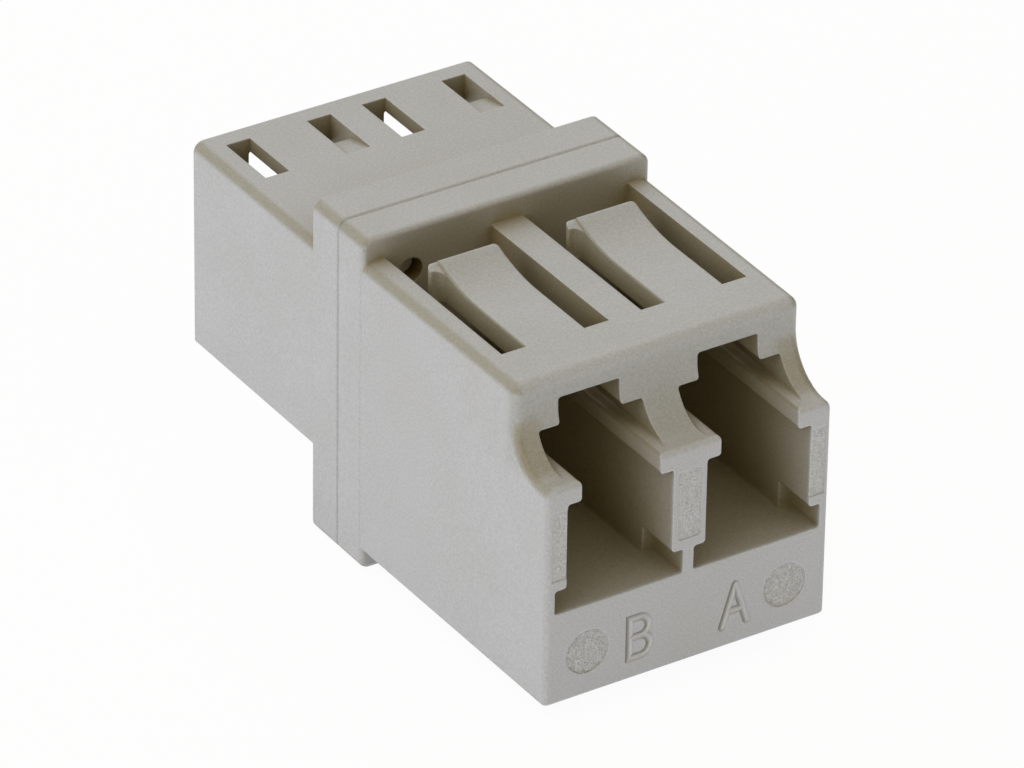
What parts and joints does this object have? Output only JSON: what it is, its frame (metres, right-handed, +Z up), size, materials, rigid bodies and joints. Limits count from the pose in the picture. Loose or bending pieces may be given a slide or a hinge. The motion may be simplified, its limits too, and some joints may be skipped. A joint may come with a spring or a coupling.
{
  "type": "fibre optic coupler",
  "caption": "Duplex snap-in fibre optic coupler in grey plastic, with a flange, two latching ports at each end and two spring fingers that clip it into a panel.",
  "frame": {"origin": "under the middle of the coupler's box, on the level of the flange's lower edge", "axes": "-Y out of the lettered front ports, +Y out of the rear ports, +Z up from the ports to the spring fingers, +X to the right seen from the front"},
  "size_m": [0.0132, 0.0258, 0.0149],
  "materials": {
    "housing": "fine spark-eroded grain",
    "sleeve": "bright"
  },
  "bodies": {
    "housing": {"front_housing": "housing", "rear_housing": "housing", "sleeve_a": "sleeve", "sleeve_b": "sleeve"},
    "finger_a": {"latch_finger_a": "housing"},
    "finger_b": {"latch_finger_b": "housing"}
  },
  "joints": [
    {"name": "finger_a_flex", "type": "hinge", "parent": "housing", "child": "finger_a", "pos_m": [0.00313, -0.00819, 0.01289], "axis": [1, 0, 0], "range_deg": [-7, 0], "stiffness_Nm_per_rad": 0.23},
    {"name": "finger_b_flex", "type": "hinge", "parent": "housing", "child": "finger_b", "pos_m": [-0.00313, -0.00819, 0.01289], "axis": [1, 0, 0], "range_deg": [-7, 0], "stiffness_Nm_per_rad": 0.23}
  ]
}
